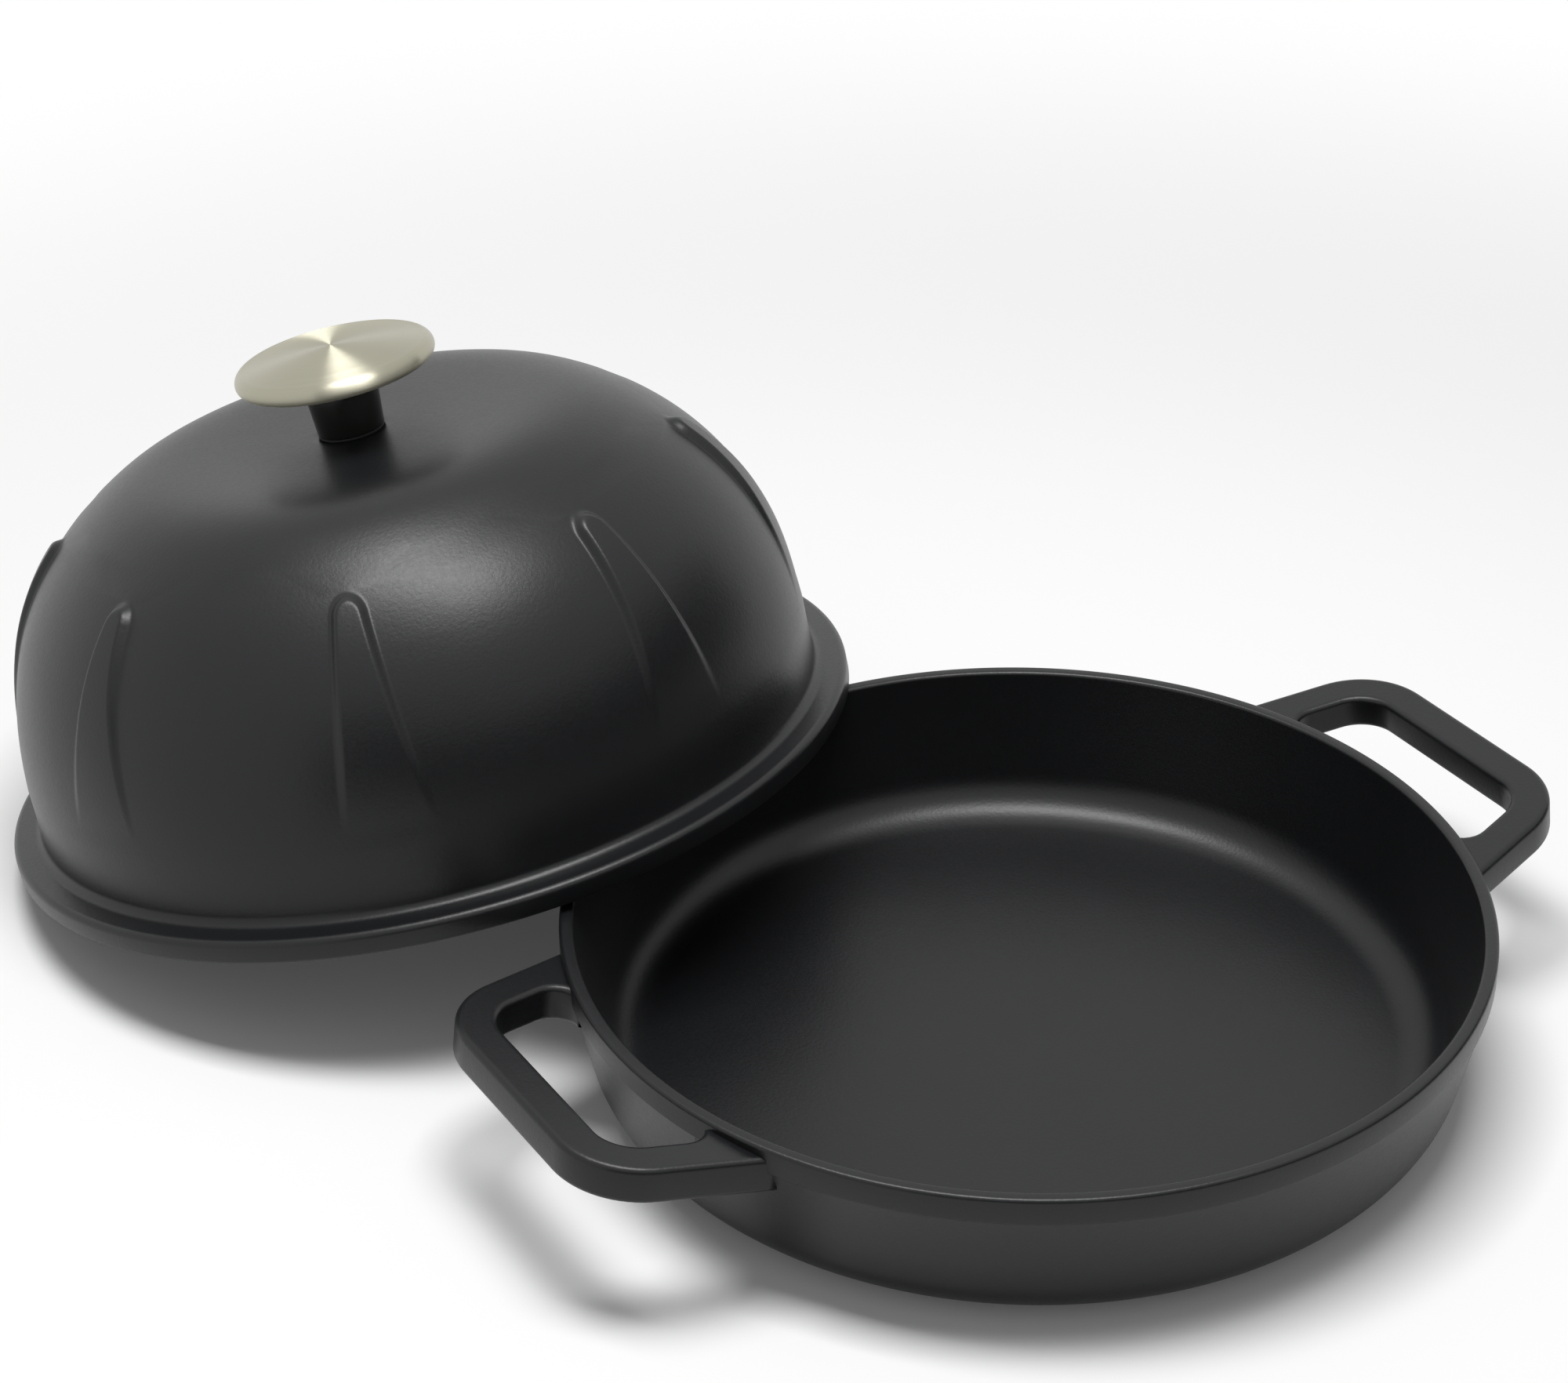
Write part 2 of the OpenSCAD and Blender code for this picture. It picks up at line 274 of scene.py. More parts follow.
@dataclass(frozen=True)
class TurnedSteelFinish:
    """Champagne-tinted stainless steel, turned on a lathe and brushed while it spun.

    The circular scratches draw every highlight out into a fan from the centre. Real scratches are
    some hundredths of a millimetre apart, too fine to show, so the rings are drawn 0.35 mm apart.
    """

    name: str = "brushed stainless steel, champagne"
    colour: str = "#bfbcab"
    ring_colour: str = "#a5a28f"
    roughness: float = 0.36
    roughness_swing: float = 0.05
    anisotropy: float = 1.0
    turn: float = 0.25
    ring_mm: float = 0.35
    ring_depth_mm: float = 0.004
    changes_around: float = 3.0
    radius_mm: float = 31.4

    def build(self) -> bpy.types.Material:
        """Makes the turned steel.

        Returns:
            The material.
        """
        material, tree, output = new_material(self.name)
        around = add_node(tree, "ShaderNodeUVMap", {"uv_map": "turned"}).outputs["UV"]
        # The map's height is the distance from the centre, so a noise stretched round is rings
        stretched = add_node(
            tree,
            "ShaderNodeMapping",
            {"Scale": (self.changes_around, self.radius_mm / self.ring_mm, 1.0)},
            Vector=around,
        )
        rings = add_node(
            tree,
            "ShaderNodeTexNoise",
            {"Scale": 1.0, "Detail": 4.0, "Roughness": 0.7},
            Vector=stretched.outputs[0],
        )
        bump = add_node(
            tree,
            "ShaderNodeBump",
            {"Strength": 1.0, "Distance": self.ring_depth_mm * MM},
            Height=rings.outputs["Fac"],
        )
        colours = (self.ring_colour, self.colour)
        swing = self.roughness_swing
        roughnesses = (self.roughness - swing, self.roughness + swing)
        along = add_node(
            tree,
            "ShaderNodeTangent",
            {"direction_type": "UV_MAP", "uv_map": "turned"},
        )
        shader = add_node(
            tree,
            "ShaderNodeBsdfPrincipled",
            {
                "Metallic": 1.0,
                "Anisotropic": self.anisotropy,
                "Anisotropic Rotation": self.turn,
            },
            Normal=bump.outputs["Normal"],
            Tangent=along.outputs[0],
            **mottle(tree, (rings, rings), colours, roughnesses),
        )
        tree.links.new(shader.outputs[0], output.inputs["Surface"])
        return material


@dataclass(frozen=True)
class MouldedFinish:
    """A plain moulded or stamped surface, with a faint unevenness in its colour, gloss and face."""

    name: str
    colour: str
    patch_colour: str
    roughness: float
    metallic: float = 0.0
    grain_mm: float = 0.8
    grain_depth_mm: float = 0.01
    roughness_share: float = 0.1

    def build(self) -> bpy.types.Material:
        """Makes the moulded surface.

        Returns:
            The material.
        """
        material, tree, output = new_material(self.name)
        place = add_node(tree, "ShaderNodeTexCoord").outputs["Object"]
        grain = add_node(
            tree,
            "ShaderNodeTexNoise",
            {"Scale": 1 / (self.grain_mm * MM), "Detail": 2.0, "Roughness": 0.6},
            Vector=place,
        )
        bump = add_node(
            tree,
            "ShaderNodeBump",
            {"Strength": 1.0, "Distance": self.grain_depth_mm * MM},
            Height=grain.outputs["Fac"],
        )
        colours = (self.colour, self.patch_colour)
        share = self.roughness_share
        roughnesses = (self.roughness * (1 - share), self.roughness * (1 + share))
        shader = add_node(
            tree,
            "ShaderNodeBsdfPrincipled",
            {"Metallic": self.metallic},
            Normal=bump.outputs["Normal"],
            **mottle(tree, (grain, grain), colours, roughnesses),
        )
        tree.links.new(shader.outputs[0], output.inputs["Surface"])
        return material


# The stem's resin comes smooth out of a polished mould
BLACK_RESIN = MouldedFinish(
    name="moulded phenolic resin, black",
    colour="#1b1c19",
    patch_colour="#22231f",
    roughness=0.2,
    grain_depth_mm=0.002,
)
# The gasket's fibre is dull and a little rough
PRESSED_FIBRE = MouldedFinish(
    name="pressed fibre, dark grey",
    colour="#161616",
    patch_colour="#1e1e1e",
    roughness=0.75,
    grain_mm=0.6,
    grain_depth_mm=0.03,
)
# The zinc on the screw and its washers is pale and only half bright
ZINC_PLATE = MouldedFinish(
    name="zinc-plated steel",
    colour="#a4a6a8",
    patch_colour="#b9babb",
    roughness=0.34,
    metallic=1.0,
    grain_mm=0.5,
    grain_depth_mm=0.004,
)


def arc(centre: Point, radius: float, start: float, end: float, steps: int) -> list[Point]:
    """Returns points on an arc.

    Args:
        centre: The arc's centre.
        radius: Its radius.
        start: The angle of its first point, in degrees.
        end: The angle of its last point, in degrees.
        steps: The number of segments.

    Returns:
        The points, both ends included.
    """
    angles = [math.radians(start + (end - start) * i / steps) for i in range(steps + 1)]
    return [(centre[0] + radius * math.cos(a), centre[1] + radius * math.sin(a)) for a in angles]


def spin_profile(profile: list[Point], steps: int, closed: bool = False) -> bmesh.types.BMesh:
    """Spins a profile round the Z axis.

    Args:
        profile: Distances from the axis and heights, in millimetres.
        steps: The number of segments round the axis.
        closed: Whether the last point joins the first.

    Returns:
        The mesh, in metres.
    """
    mesh = bmesh.new()
    points = [mesh.verts.new((r * MM, 0, z * MM)) for r, z in profile]
    edges = [mesh.edges.new(pair) for pair in zip(points, points[1:])]
    if closed:
        edges.append(mesh.edges.new((points[-1], points[0])))
    bmesh.ops.spin(
        mesh,
        geom=points + edges,
        cent=(0, 0, 0),
        axis=(0, 0, 1),
        angle=2 * math.pi,
        steps=steps,
        use_merge=True,
    )
    bmesh.ops.remove_doubles(mesh, verts=mesh.verts, dist=WELD_MM * MM)
    bmesh.ops.recalc_face_normals(mesh, faces=mesh.faces)
    return mesh


def finish_object(
    mesh: bmesh.types.BMesh,
    name: str,
    material: bpy.types.Material,
    place: Matrix,
) -> bpy.types.Object:
    """Turns a mesh into a smooth object at the origin, with its place in its mesh.

    Args:
        mesh: The mesh, which is freed.
        name: The piece's name.
        material: Its finish.
        place: Where the mesh goes.

    Returns:
        The object.
    """
    bmesh.ops.transform(mesh, matrix=place, verts=mesh.verts)
    for face in mesh.faces:
        face.smooth = True
    data = bpy.data.meshes.new(name)
    mesh.to_mesh(data)
    mesh.free()
    data.materials.append(material)
    piece = bpy.data.objects.new(name, data)
    bpy.context.scene.collection.objects.link(piece)
    return piece


def stand_for(piece: bpy.types.Object, node: str, body: Body) -> None:
    """Lets a piece ride on a body in place of a node.

    Args:
        piece: The piece.
        node: The node that it replaces.
        body: The body that it moves with.
    """
    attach(piece, body.value)
    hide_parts(node)


@dataclass
class BasePan:
    """The low pan: a flared round wall with a band under its rim, and two loop handles along X."""

    rim_d: float = 270.0
    height: float = 50.3
    band_h: float = 8.1
    band_step: float = 0.8
    band_round: float = 0.5
    # The wall ends band_gap under the band's foot, and the foot's rounding starts band_gap over it
    band_gap: float = 0.1
    band_tuck: float = 0.05
    band_from: float = -60.0
    row_under_band: float = 0.7
    wall_flare: float = 11.7
    base_corner_r: float = 19.3
    wall: float = 4.2
    floor: float = 4.8
    inner_corner_r: float = 15.0
    rim_round: float = 1.2
    inner_rim_round: float = 1.3
    handle_reach: float = 169.1
    handle_end_w: float = 89.8
    handle_root_w: float = 113.8
    handle_t: float = 11.0
    handle_bar: float = 11.9
    handle_corner_r: float = 25.0
    handle_root_x: float = 121.0
    handle_sink_r: float = 131.2
    handle_sink_gap: float = 1.0
    grip_end_w: float = 71.2
    grip_root_w: float = 89.0
    grip_corner_r: float = 12.4
    grip_root_r: float = 7.0
    handle_drop: float = 1.5
    handle_rise: float = 7.9
    handle_edge_r: float = 1.8
    handle_edge_steps: int = 5
    handle_inset: float = 0.35
    corner_steps: int = 16
    root_steps: int = 9
    steps: int = 288
    finish: CastIronFinish = CastIronFinish("enamelled cast iron, pan")

    @property
    def rim_r(self) -> float:
        """The rim's radius."""
        return self.rim_d / 2

    def wall_profile(self) -> list[Point]:
        """Draws the pan's profile, from the middle of its base round to the middle of its floor.

        Returns:
            Distances from the axis and heights.
        """
        flare = math.radians(self.wall_flare)
        slope = math.tan(flare)
        rim_r = self.rim_r
        wall_top_r = rim_r - self.band_step
        band_z = self.height - self.band_h
        tangent_z = self.base_corner_r * (1 - math.sin(flare))
        tangent_r = wall_top_r - (band_z - tangent_z) * slope
        base_r = tangent_r - self.base_corner_r * math.cos(flare)
        inner_r = wall_top_r - self.wall / math.cos(flare) + self.band_h * slope / 2
        inner_z = self.floor + self.inner_corner_r * (1 - math.sin(flare))
        inner_run = (self.height - inner_z) * slope
        inner_base_r = inner_r - inner_run - self.inner_corner_r * math.cos(flare)
        inner_corner = (inner_base_r, self.floor + self.inner_corner_r)
        band = self.band_round
        rim = self.rim_round
        lip = self.inner_rim_round
        return [
            (0.0, 0.0),
            (base_r * 0.5, 0.0),
            *arc((base_r, self.base_corner_r), self.base_corner_r, -90, -self.wall_flare, steps=14),
            (tangent_r + (band_z - tangent_z) * slope * 0.5, (tangent_z + band_z) / 2),
            (wall_top_r - self.row_under_band * slope, band_z - self.row_under_band),
            (wall_top_r + self.band_tuck, band_z - self.band_gap),
            *arc((rim_r - band, band_z + band + self.band_gap), band, self.band_from, 0, steps=4),
            (rim_r, band_z + self.band_h * 0.5),
            *arc((rim_r - rim, self.height - rim), rim, 0, 90, steps=6),
            *arc((inner_r + lip, self.height - lip), lip, 90, 180, steps=6),
            (inner_r - inner_run * 0.5, (self.height + inner_z) / 2),
            *arc(inner_corner, self.inner_corner_r, -self.wall_flare, -90, steps=12),
            (inner_base_r * 0.5, self.floor),
            (0.0, self.floor),
        ]

    def corner_arcs(self, end_x: float, end_w: float, root_w: float, radius: float) -> list[Point]:
        """Draws a tapered plate's two outer corners, from the low side to the high side.

        Args:
            end_x: Where the plate ends.
            end_w: Its width there.
            root_w: Its width where its sides start.
            radius: The corners' radius.

        Returns:
            The points of both arcs.
        """
        side = math.degrees(math.atan2((root_w - end_w) / 2, end_x - self.handle_root_x))
        centre_x = end_x - radius
        centre_y = end_w / 2 - radius * math.tan(math.radians((90 - side) / 2))
        return [
            *arc((centre_x, -centre_y), radius, side - 90, 0, self.corner_steps),
            *arc((centre_x, centre_y), radius, 0, 90 - side, self.corner_steps),
        ]

    def root_arc(self, end_x: float) -> list[Point]:
        """Draws the rounded corner between the finger hole's high side and the pan's wall.

        Args:
            end_x: Where the finger hole ends.

        Returns:
            The points from the hole's side to the wall.
        """
        side = math.atan2((self.grip_root_w - self.grip_end_w) / 2, end_x - self.handle_root_x)
        along = Vector((math.cos(side), -math.sin(side)))
        inwards = Vector((-math.sin(side), -math.cos(side)))
        shifted = Vector((self.handle_root_x, self.grip_root_w / 2)) + inwards * self.grip_root_r
        back = shifted.dot(along)
        wall_run = self.handle_t * math.tan(math.radians(self.wall_flare)) / 2
        reach = self.rim_r - self.band_step - wall_run + self.grip_root_r
        run = math.sqrt(back**2 - shifted.length_squared + reach**2) - back
        centre = shifted + along * run
        first = 90 - math.degrees(side)
        last = 180 + math.degrees(math.atan2(centre.y, centre.x))
        return arc((centre.x, centre.y), self.grip_root_r, first, last, self.root_steps)

    def handle_lines(self) -> tuple[list[Point], list[Point]]:
        """Draws the outer line and the finger hole's line of a handle along +X.

        Returns:
            Both lines, with equally many points.
        """
        reach = self.handle_reach
        root_w = self.handle_root_w
        grip_x = reach - self.handle_bar
        outer = self.corner_arcs(reach, self.handle_end_w, root_w, self.handle_corner_r)
        inner = self.corner_arcs(grip_x, self.grip_end_w, self.grip_root_w, self.grip_corner_r)
        root = self.root_arc(grip_x)
        # The sides start on a circle inside the wall
        taper = (root_w - self.handle_end_w) / 2 / (reach - self.handle_root_x)
        level = root_w / 2 + self.handle_root_x * taper
        square = 1 + taper**2
        meet = (level * taper + math.sqrt(square * self.handle_sink_r**2 - level**2)) / square
        run = (outer[-1][0] - meet) / len(root)
        side = [(meet + run * i, level - taper * (meet + run * i)) for i in range(len(root))]
        low_side = [(x, -y) for x, y in side]
        low_root = [(x, -y) for x, y in reversed(root)]
        return [*low_side, *outer, *reversed(side)], [*low_root, *inner, *root]

    def round_handle(self, part: bmesh.types.BMesh) -> None:
        """Rounds a handle's long edges outside the pan, and holds its flat faces flat.

        Args:
            part: The handle, lying level, in metres.
        """
        clear = (self.handle_sink_r + self.handle_sink_gap) * MM
        rims = []
        for edge in part.edges:
            level_faces = [f for f in edge.link_faces if abs(f.normal.z) > LEVEL]
            middle = (edge.verts[0].co.xy + edge.verts[1].co.xy) / 2
            if len(level_faces) == 1 and middle.length > clear:
                rims.append(edge)
        bmesh.ops.bevel(
            part,
            geom=rims,
            offset=self.handle_edge_r * MM,
            affect="EDGES",
            segments=self.handle_edge_steps,
            profile=0.5,
            material=-1,
        )
        # Faces under a square millimetre stay as they are
        speck = MM * MM
        flats = [f for f in part.faces if abs(f.normal.z) > FLAT and f.calc_area() > speck]
        bmesh.ops.inset_region(part, faces=flats, thickness=self.handle_inset * MM)

    def add_handle(self, mesh: bmesh.types.BMesh, turn: float) -> None:
        """Adds one loop handle, its edges rounded, to the pan's mesh.

        Args:
            mesh: The pan's mesh, in metres.
            turn: The handle's direction from +X, in degrees.
        """
        part = bmesh.new()
        edges = []
        for line in self.handle_lines():
            points = [part.verts.new((x * MM, y * MM, 0)) for x, y in line]
            edges += [part.edges.new(pair) for pair in zip(points, points[1:])]
        bmesh.ops.bridge_loops(part, edges=edges)
        lift = bmesh.ops.extrude_face_region(part, geom=part.faces[:])
        top = [v for v in lift["geom"] if isinstance(v, bmesh.types.BMVert)]
        bmesh.ops.translate(part, verts=top, vec=(0, 0, self.handle_t * MM))
        bmesh.ops.recalc_face_normals(part, faces=part.faces)
        self.round_handle(part)
        place = (
            Matrix.Rotation(math.radians(turn), 4, "Z")
            @ Matrix.Translation((self.rim_r * MM, 0, (self.height - self.handle_drop) * MM))
            @ Matrix.Rotation(math.radians(-self.handle_rise), 4, "Y")
            @ Matrix.Translation((-self.rim_r * MM, 0, -self.handle_t * MM))
        )
        bmesh.ops.transform(part, matrix=place, verts=part.verts)
        data = bpy.data.meshes.new("handle")
        part.to_mesh(data)
        part.free()
        mesh.from_mesh(data)
        bpy.data.meshes.remove(data)

    def build(self) -> bpy.types.Object:
        """Makes the pan with its handles, in place of its node.

        Returns:
            The piece.
        """
        mesh = spin_profile(self.wall_profile(), self.steps)
        for turn in (0.0, 180.0):
            self.add_handle(mesh, turn)
        piece = finish_object(mesh, "pan_casting", self.finish.build(), Matrix.Identity(4))
        stand_for(piece, "base_pan", Body.PAN)
        return piece


@dataclass
class LidPlace:
    """Where the lid leans: its low edge on the table and its mouth on the pan's rim."""

    ring_r: float = 136.0
    mouth_r: float = 120.0
    rim_edge_r: float = 133.8
    pan_height: float = 50.3
    rest_angle: float = 30.5
    stand_turn: float = 24.4
    rest_gap: float = 0.3

    def matrix(self) -> Matrix:
        """Works out the lean from the two contacts.

        Returns:
            The transform from the lid's own frame to the pan's, in metres.
        """
        along = self.mouth_r * math.cos(math.radians(self.rest_angle))
        side = self.mouth_r * math.sin(math.radians(self.rest_angle))
        lean = math.asin((self.pan_height + self.rest_gap) / (self.ring_r + along))
        far = math.sqrt(self.rim_edge_r**2 - side**2) + along * math.cos(lean)
        return (
            Matrix.Rotation(math.radians(90 + self.stand_turn), 4, "Z")
            @ Matrix.Translation((far * MM, 0, self.ring_r * math.sin(lean) * MM))
            @ Matrix.Rotation(lean, 4, "Y")
        )


@dataclass
class DomeLid:
    """The domed lid: a flange ring, a square-shouldered dome, a flatter crown and raised flutes."""

    place: Matrix
    ring_r: float = 136.0
    ring_h: float = 7.0
    ring_round: float = 2.2
    ring_fillet: float = 3.0
    mouth_edge: float = 0.8
    dome_r: float = 124.5
    waist: float = 26.4
    rise: float = 97.2
    power: float = 2.29
    foot_spread: float = 1.6
    spread_top: float = 64.0
    spread_power: float = 1.5
    crown_start: float = 48.0
    crown_h: float = 111.5
    seat_r: float = 13.0
    inner_seat_r: float = 11.0
    wall: float = 4.5
    hole_r: float = 3.3
    shoulder_pull: float = 26.0
    seat_pull: float = 48.0
    flutes: int = 8
    flute_top: float = 94.0
    flute_foot: float = 33.0
    flute_top_r: float = 4.6
    flute_least_w: float = 0.9
    flute_foot_w: float = 27.0
    flute_proud: float = 2.4
    flute_turn: float = 37.6
    edge_soft: float = 3.0
    # Rows of the mesh, from the foot up: single ones, wide ones, and fine ones at the flutes' tops
    foot_row: float = 18.0
    waist_rows: tuple[float, float] = (29.0, 31.0)
    wide_row: float = 2.4
    wide_rows: int = 21
    fine_row: float = 0.62
    rows_past_top: float = 1.6
    crown_gap: float = 1.0
    crown_rows: int = 22
    inner_crown_rows: int = 10
    inner_rows: int = 12
    # Columns keep their place inside crown_middle_r, and the walls aren't told apart above inner_top
    crown_middle_r: float = 70.0
    inner_top: float = 100.0
    # Columns of the mesh in one flute's sector, and the shares of them in it and along its sides
    columns: int = 60
    inner_share: float = 0.27
    side_share: float = 0.33
    side_band: float = 0.75
    drift_gap: float = 1.0
    drift_past: float = 7.0
    drift: float = 5.0
    finish: CastIronFinish = CastIronFinish("enamelled cast iron, lid")

    def spread_at(self, height: float) -> float:
        """Returns how far the wall spreads past the shoulder curve at a height."""
        share = (self.spread_top - height) / (self.spread_top - self.waist)
        return self.foot_spread * max(0.0, share) ** self.spread_power

    def shoulder(self, radius: float, rise: float, angle: float) -> Point:
        """Works out a point of the shoulder curve.

        Args:
            radius: The dome's radius at its waist.
            rise: The curve's rise above the waist.
            angle: From 0 at the waist to 90 over the axis.

        Returns:
            Its distance from the axis and its height.
        """
        t = math.radians(angle)
        height = self.waist + rise * math.sin(t) ** (2 / self.power)
        return radius * math.cos(t) ** (2 / self.power) + self.spread_at(height), height

    def shoulder_angle(self, height: float) -> float:
        """Returns the angle on the outer shoulder curve for a height."""
        return math.degrees(math.asin(((height - self.waist) / self.rise) ** (self.power / 2)))

    def crown(self, radius: float, rise: float, top: float, seat: float, rows: int) -> list[Point]:
        """Draws the flatter crown, one cubic curve from the end of the shoulder to the seat.

        Args:
            radius: The dome's radius at its waist.
            rise: The shoulder's rise above the waist.
            top: The seat's height.
            seat: The seat's radius.
            rows: The number of segments.

        Returns:
            The points after the shoulder's last one.
        """
        a = Vector(self.shoulder(radius, rise, self.crown_start))
        nearby = Vector(self.shoulder(radius, rise, self.crown_start + NUDGE))
        b = a + (nearby - a).normalized() * self.shoulder_pull
        c = Vector((seat + self.seat_pull, top))
        d = Vector((seat, top))
        points = []
        for i in range(1, rows + 1):
            s = i / rows
            point = (1 - s) ** 3 * a + 3 * s * (1 - s) ** 2 * b + 3 * s * s * (1 - s) * c + s**3 * d
            points.append((point.x, point.y))
        return points

    def outer_heights(self) -> list[float]:
        """Works out the heights of the outer rows between the fillet and the crown.

        Returns:
            The heights, closest together at the flutes' tops.
        """
        top = self.shoulder(self.dome_r, self.rise, self.crown_start)[1]
        heights = [self.foot_row, self.waist, *self.waist_rows]
        heights += [self.flute_foot + self.wide_row * i for i in range(self.wide_rows)]
        row = heights[-1]
        while row < self.flute_top + self.rows_past_top:
            row += self.fine_row
            heights.append(row)
        return [h for h in heights if h < top - self.crown_gap]

    def profile(self) -> list[Point]:
        """Draws the lid's closed profile, from its mouth up the outside and back down the inside.

        Returns:
            Distances from the axis and heights.
        """
        mouth_r = self.dome_r - self.wall
        foot_r = self.dome_r + self.foot_spread
        edge = self.mouth_edge
        bevel = self.ring_round
        fillet = self.ring_fillet
        outside = [
            *arc((mouth_r + edge, edge), edge, 180, 270, steps=4),
            *arc((self.ring_r - edge, edge), edge, 270, 360, steps=4),
            *arc((self.ring_r - bevel, self.ring_h - bevel), bevel, 0, 90, steps=7),
            *arc((foot_r + fillet, self.ring_h + fillet), fillet, 270, 180, steps=8),
        ]
        for height in self.outer_heights():
            if height <= self.waist:
                outside.append((foot_r, height))
            else:
                angle = self.shoulder_angle(height)
                outside.append(self.shoulder(self.dome_r, self.rise, angle))
        outside.append(self.shoulder(self.dome_r, self.rise, self.crown_start))
        outside += self.crown(self.dome_r, self.rise, self.crown_h, self.seat_r, self.crown_rows)
        under = self.crown_h - self.wall
        rise = self.rise - self.wall
        crown = self.crown(mouth_r, rise, under, self.inner_seat_r, self.inner_crown_rows)
        rows = range(self.inner_rows, -1, -1)
        angles = [self.crown_start * i / self.inner_rows for i in rows]
        inside = [
            (self.hole_r, self.crown_h),
            (self.hole_r, under),
            *reversed(crown),
            *[self.shoulder(mouth_r, rise, angle) for angle in angles],
        ]
        return outside + inside

    def flute_lean(self) -> float:
        """Works out how a flute's straight sides lean from upright.

        Returns:
            The angle, in radians.
        """
        drop = self.flute_top - self.flute_top_r - self.flute_foot
        half = self.flute_foot_w / 2
        return math.atan2(half, drop) - math.asin(self.flute_top_r / math.hypot(half, drop))

    def flute_half_width(self, height: float) -> float:
        """Works out a flute's half width, with its straight sides carried on towards its top.

        Args:
            height: The height.

        Returns:
            The half width, at least flute_least_w of the top's radius.
        """
        climb = min(height, self.flute_top - self.flute_top_r) - self.flute_foot
        wide = self.flute_foot_w / 2 - climb * math.tan(self.flute_lean())
        return max(wide, self.flute_top_r * self.flute_least_w)

    def inside_flute(self, across: float, height: float) -> float:
        """Works out how far a point lies inside a flute's outline.

        Args:
            across: Its distance from the flute's middle line.
            height: Its height.

        Returns:
            The distance to the outline, negative outside it.
        """
        centre = self.flute_top - self.flute_top_r
        if height > centre:
            return self.flute_top_r - math.hypot(across, height - centre)
        lean = self.flute_lean()
        side = self.flute_foot_w / 2 - (height - self.flute_foot) * math.tan(lean)
        return (side - abs(across)) * math.cos(lean)

    def proud_at(self, across: float, height: float) -> float:
        """Works out how far the wall is raised at a point.

        Args:
            across: Its distance from the nearest flute's middle line.
            height: Its height.

        Returns:
            The flute's relief, which grows from its foot to its top.
        """
        if not self.flute_foot < height < self.flute_top + self.edge_soft:
            return 0.0
        low = self.shoulder_angle(self.flute_foot)
        high = self.shoulder_angle(self.flute_top)
        along = min(1.0, (self.shoulder_angle(height) - low) / (high - low))
        step = min(1.0, max(0.0, self.inside_flute(across, height) / self.edge_soft + 0.5))
        step = step * step * (3 - 2 * step)
        return self.flute_proud * math.sin(math.pi / 2 * along) * step

    def on_outer_wall(self, radius: float, height: float) -> bool:
        """Tells the outer wall above the waist from the inner wall and the middle of the crown.

        The flutes end below inner_top, so over it the inner wall counts as the outer one.

        Args:
            radius: A point's distance from the axis.
            height: Its height.

        Returns:
            Whether the point is on the outer wall.
        """
        if height <= self.waist + self.drift_gap or radius < self.crown_middle_r:
            return False
        if height >= self.inner_top:
            return True
        outer_r = self.shoulder(self.dome_r, self.rise, self.shoulder_angle(height))[0]
        return radius >= outer_r - self.wall / 2

    def gather(self, off: float, radius: float, height: float) -> float:
        """Moves a column of the mesh, so that the columns are closest along a flute's sides.

        Args:
            off: The column's angle from the nearest flute's middle, in degrees.
            radius: Its distance from the axis.
            height: Its height.

        Returns:
            Its new angle from the same middle, in degrees.
        """
        sector = 360 / self.flutes
        inner = self.columns / 2 * self.inner_share
        sides = self.columns / 2 * self.side_share
        others = self.columns / 2 - inner - sides
        column = abs(off) / sector * self.columns
        edge = math.degrees(self.flute_half_width(max(height, self.flute_foot)) / radius)
        soft = math.degrees(self.edge_soft * self.side_band / radius)
        if column <= inner:
            moved = (edge - soft) * column / inner
        elif column <= inner + sides:
            moved = edge - soft + 2 * soft * (column - inner) / sides
        else:
            free = sector / 2 - edge - soft
            moved = edge + soft + free * (column - inner - sides) / others
        # Below the foot and above the top the columns drift back to an even spread
        low_gap = height - self.waist - self.drift_gap
        high_gap = self.flute_top + self.drift_past - height
        fade = min(1.0, max(0.0, low_gap / self.drift))
        fade *= min(1.0, max(0.0, high_gap / self.drift))
        return math.copysign(abs(off) + (moved - abs(off)) * fade, off)

    def raise_flutes(self, mesh: bmesh.types.BMesh) -> None:
        """Gathers the columns along the flutes' sides, and raises the flutes with soft edges.

        Args:
            mesh: The spun lid, in its own frame.
        """
        sector = 360 / self.flutes
        for vert in mesh.verts:
            height = vert.co.z / MM
            radius = math.hypot(vert.co.x, vert.co.y) / MM
            if not self.on_outer_wall(radius, height):
                continue
            azimuth = math.degrees(math.atan2(vert.co.y, vert.co.x)) - self.flute_turn
            middle = round(azimuth / sector) * sector
            off = self.gather(azimuth - middle, radius, height)
            angle = math.radians(self.flute_turn + middle + off)
            vert.co.x = radius * math.cos(angle) * MM
            vert.co.y = radius * math.sin(angle) * MM
            proud = self.proud_at(radius * math.sin(math.radians(off)), height)
            if proud == 0:
                continue
            here_angle = self.shoulder_angle(height)
            here = Vector(self.shoulder(self.dome_r, self.rise, here_angle))
            near = Vector(self.shoulder(self.dome_r, self.rise, here_angle + NUDGE))
            run = (near - here).normalized()
            vert.co.x += run.y * proud * math.cos(angle) * MM
            vert.co.y += run.y * proud * math.sin(angle) * MM
            vert.co.z -= run.x * proud * MM

